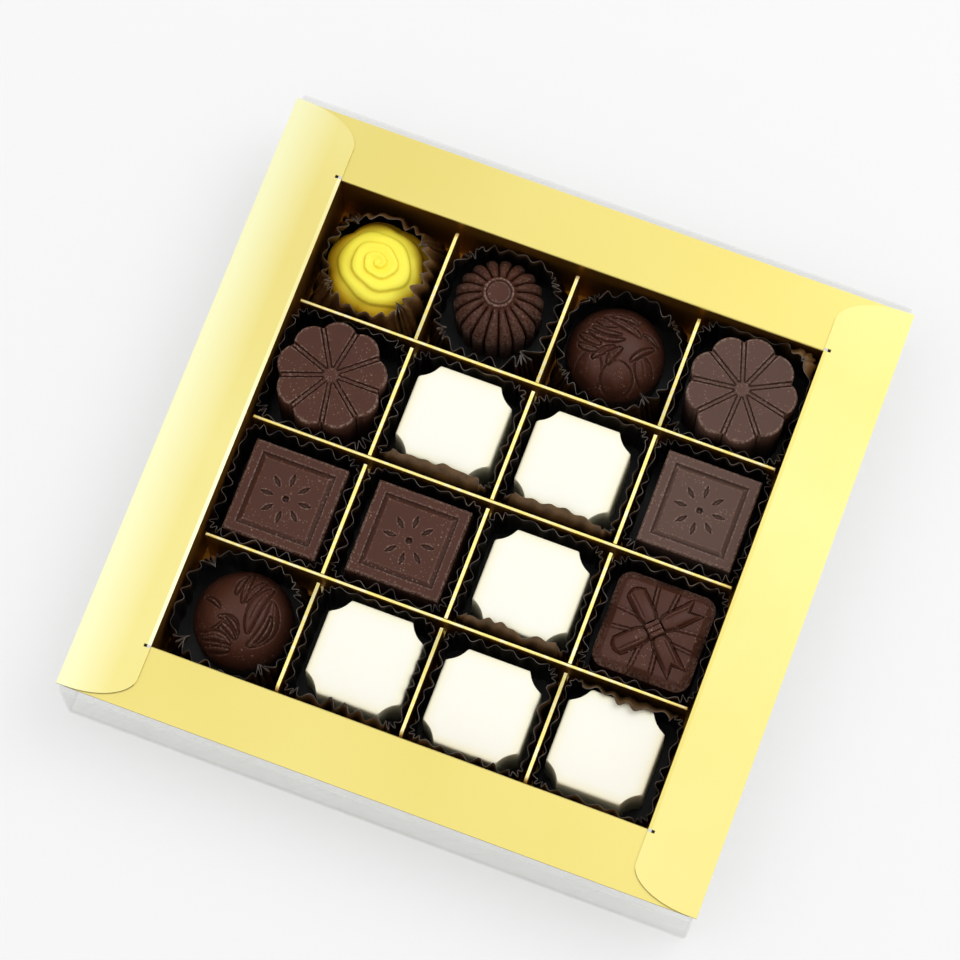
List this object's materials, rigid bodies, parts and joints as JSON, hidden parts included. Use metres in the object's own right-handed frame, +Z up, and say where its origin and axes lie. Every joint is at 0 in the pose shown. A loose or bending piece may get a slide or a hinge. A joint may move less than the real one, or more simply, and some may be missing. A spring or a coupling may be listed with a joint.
{
  "type": "chocolate box",
  "caption": "Square gold card tray in a clear base, its divided well holding moulded chocolates in fluted paper cups that lift out; the side rims fold up on creases.",
  "frame": {"origin": "middle of the box's footprint, on the underside of the clear base", "axes": "+X to the right along the front, +Y from the front to the back, +Z up"},
  "size_m": [0.1612, 0.1614, 0.024],
  "materials": {
    "clear_film": "clear film",
    "gold_card": "satin gold foil",
    "divider_card": "gold foil with a cut cream edge",
    "cup_paper": "thin glossy dark paper",
    "dark_chocolate": "satin",
    "white_chocolate": "satin",
    "yellow_chocolate": "satin"
  },
  "bodies": {
    "base": {"base_back_wall": "clear_film", "base_floor": "clear_film", "base_front_wall": "clear_film", "base_left_wall": "clear_film", "base_right_wall": "clear_film"},
    "tray": {"tray_back_wall": "gold_card", "tray_floor": "gold_card", "tray_front_wall": "gold_card", "tray_left_wall": "gold_card", "tray_right_wall": "gold_card", "front_rim": "gold_card", "back_rim": "gold_card"},
    "left_rim": {"left_rim": "gold_card"},
    "right_rim": {"right_rim": "gold_card"},
    "divider_grid": {"divider_across_back": "divider_card", "divider_across_front": "divider_card", "divider_across_middle": "divider_card", "divider_along_left": "divider_card", "divider_along_middle": "divider_card", "divider_along_right": "divider_card"},
    "cup_r1c1": {"cup_r1c1": "cup_paper"},
    "rose_r1c1": {"rose_r1c1": "yellow_chocolate"},
    "cup_r1c2": {"cup_r1c2": "cup_paper"},
    "daisy_r1c2": {"daisy_r1c2": "dark_chocolate"},
    "cup_r1c3": {"cup_r1c3": "cup_paper"},
    "leaf_dome_r1c3": {"leaf_dome_r1c3": "dark_chocolate"},
    "cup_r1c4": {"cup_r1c4": "cup_paper"},
    "flower_r1c4": {"flower_r1c4": "dark_chocolate"},
    "cup_r2c1": {"cup_r2c1": "cup_paper"},
    "flower_r2c1": {"flower_r2c1": "dark_chocolate"},
    "cup_r2c2": {"cup_r2c2": "cup_paper"},
    "white_square_r2c2": {"white_square_r2c2": "white_chocolate"},
    "cup_r2c3": {"cup_r2c3": "cup_paper"},
    "white_square_r2c3": {"white_square_r2c3": "white_chocolate"},
    "cup_r2c4": {"cup_r2c4": "cup_paper"},
    "tablet_r2c4": {"tablet_r2c4": "dark_chocolate"},
    "cup_r3c1": {"cup_r3c1": "cup_paper"},
    "tablet_r3c1": {"tablet_r3c1": "dark_chocolate"},
    "cup_r3c2": {"cup_r3c2": "cup_paper"},
    "tablet_r3c2": {"tablet_r3c2": "dark_chocolate"},
    "cup_r3c3": {"cup_r3c3": "cup_paper"},
    "white_square_r3c3": {"white_square_r3c3": "white_chocolate"},
    "cup_r3c4": {"cup_r3c4": "cup_paper"},
    "bow_r3c4": {"bow_r3c4": "dark_chocolate"},
    "cup_r4c1": {"cup_r4c1": "cup_paper"},
    "leaf_dome_r4c1": {"leaf_dome_r4c1": "dark_chocolate"},
    "cup_r4c2": {"cup_r4c2": "cup_paper"},
    "white_square_r4c2": {"white_square_r4c2": "white_chocolate"},
    "cup_r4c3": {"cup_r4c3": "cup_paper"},
    "white_square_r4c3": {"white_square_r4c3": "white_chocolate"},
    "cup_r4c4": {"cup_r4c4": "cup_paper"},
    "white_square_r4c4": {"white_square_r4c4": "white_chocolate"}
  },
  "joints": [
    {"name": "tray_lift", "type": "slide", "parent": "base", "child": "tray", "axis": [0, 0, 1], "range_m": [0, 0.05]},
    {"name": "left_rim_fold", "type": "hinge", "parent": "tray", "child": "left_rim", "pos_m": [-0.0628, 0, 0.024], "axis": [0, 1, 0], "range_deg": [0, 90]},
    {"name": "right_rim_fold", "type": "hinge", "parent": "tray", "child": "right_rim", "pos_m": [0.0628, 0, 0.024], "axis": [0, -1, 0], "range_deg": [0, 90]},
    {"name": "divider_grid_lift", "type": "slide", "parent": "tray", "child": "divider_grid", "axis": [0, 0, 1], "range_m": [0, 0.03]},
    {"name": "cup_r1c1_lift", "type": "slide", "parent": "tray", "child": "cup_r1c1", "axis": [0, 0, 1], "range_m": [0, 0.03]},
    {"name": "rose_r1c1_lift", "type": "slide", "parent": "cup_r1c1", "child": "rose_r1c1", "axis": [0, 0, 1], "range_m": [0, 0.025]},
    {"name": "cup_r1c2_lift", "type": "slide", "parent": "tray", "child": "cup_r1c2", "axis": [0, 0, 1], "range_m": [0, 0.03]},
    {"name": "daisy_r1c2_lift", "type": "slide", "parent": "cup_r1c2", "child": "daisy_r1c2", "axis": [0, 0, 1], "range_m": [0, 0.025]},
    {"name": "cup_r1c3_lift", "type": "slide", "parent": "tray", "child": "cup_r1c3", "axis": [0, 0, 1], "range_m": [0, 0.03]},
    {"name": "leaf_dome_r1c3_lift", "type": "slide", "parent": "cup_r1c3", "child": "leaf_dome_r1c3", "axis": [0, 0, 1], "range_m": [0, 0.025]},
    {"name": "cup_r1c4_lift", "type": "slide", "parent": "tray", "child": "cup_r1c4", "axis": [0, 0, 1], "range_m": [0, 0.03]},
    {"name": "flower_r1c4_lift", "type": "slide", "parent": "cup_r1c4", "child": "flower_r1c4", "axis": [0, 0, 1], "range_m": [0, 0.025]},
    {"name": "cup_r2c1_lift", "type": "slide", "parent": "tray", "child": "cup_r2c1", "axis": [0, 0, 1], "range_m": [0, 0.03]},
    {"name": "flower_r2c1_lift", "type": "slide", "parent": "cup_r2c1", "child": "flower_r2c1", "axis": [0, 0, 1], "range_m": [0, 0.025]},
    {"name": "cup_r2c2_lift", "type": "slide", "parent": "tray", "child": "cup_r2c2", "axis": [0, 0, 1], "range_m": [0, 0.03]},
    {"name": "white_square_r2c2_lift", "type": "slide", "parent": "cup_r2c2", "child": "white_square_r2c2", "axis": [0, 0, 1], "range_m": [0, 0.025]},
    {"name": "cup_r2c3_lift", "type": "slide", "parent": "tray", "child": "cup_r2c3", "axis": [0, 0, 1], "range_m": [0, 0.03]},
    {"name": "white_square_r2c3_lift", "type": "slide", "parent": "cup_r2c3", "child": "white_square_r2c3", "axis": [0, 0, 1], "range_m": [0, 0.025]},
    {"name": "cup_r2c4_lift", "type": "slide", "parent": "tray", "child": "cup_r2c4", "axis": [0, 0, 1], "range_m": [0, 0.03]},
    {"name": "tablet_r2c4_lift", "type": "slide", "parent": "cup_r2c4", "child": "tablet_r2c4", "axis": [0, 0, 1], "range_m": [0, 0.025]},
    {"name": "cup_r3c1_lift", "type": "slide", "parent": "tray", "child": "cup_r3c1", "axis": [0, 0, 1], "range_m": [0, 0.03]},
    {"name": "tablet_r3c1_lift", "type": "slide", "parent": "cup_r3c1", "child": "tablet_r3c1", "axis": [0, 0, 1], "range_m": [0, 0.025]},
    {"name": "cup_r3c2_lift", "type": "slide", "parent": "tray", "child": "cup_r3c2", "axis": [0, 0, 1], "range_m": [0, 0.03]},
    {"name": "tablet_r3c2_lift", "type": "slide", "parent": "cup_r3c2", "child": "tablet_r3c2", "axis": [0, 0, 1], "range_m": [0, 0.025]},
    {"name": "cup_r3c3_lift", "type": "slide", "parent": "tray", "child": "cup_r3c3", "axis": [0, 0, 1], "range_m": [0, 0.03]},
    {"name": "white_square_r3c3_lift", "type": "slide", "parent": "cup_r3c3", "child": "white_square_r3c3", "axis": [0, 0, 1], "range_m": [0, 0.025]},
    {"name": "cup_r3c4_lift", "type": "slide", "parent": "tray", "child": "cup_r3c4", "axis": [0, 0, 1], "range_m": [0, 0.03]},
    {"name": "bow_r3c4_lift", "type": "slide", "parent": "cup_r3c4", "child": "bow_r3c4", "axis": [0, 0, 1], "range_m": [0, 0.025]},
    {"name": "cup_r4c1_lift", "type": "slide", "parent": "tray", "child": "cup_r4c1", "axis": [0, 0, 1], "range_m": [0, 0.03]},
    {"name": "leaf_dome_r4c1_lift", "type": "slide", "parent": "cup_r4c1", "child": "leaf_dome_r4c1", "axis": [0, 0, 1], "range_m": [0, 0.025]},
    {"name": "cup_r4c2_lift", "type": "slide", "parent": "tray", "child": "cup_r4c2", "axis": [0, 0, 1], "range_m": [0, 0.03]},
    {"name": "white_square_r4c2_lift", "type": "slide", "parent": "cup_r4c2", "child": "white_square_r4c2", "axis": [0, 0, 1], "range_m": [0, 0.025]},
    {"name": "cup_r4c3_lift", "type": "slide", "parent": "tray", "child": "cup_r4c3", "axis": [0, 0, 1], "range_m": [0, 0.03]},
    {"name": "white_square_r4c3_lift", "type": "slide", "parent": "cup_r4c3", "child": "white_square_r4c3", "axis": [0, 0, 1], "range_m": [0, 0.025]},
    {"name": "cup_r4c4_lift", "type": "slide", "parent": "tray", "child": "cup_r4c4", "axis": [0, 0, 1], "range_m": [0, 0.03]},
    {"name": "white_square_r4c4_lift", "type": "slide", "parent": "cup_r4c4", "child": "white_square_r4c4", "axis": [0, 0, 1], "range_m": [0, 0.025]}
  ]
}
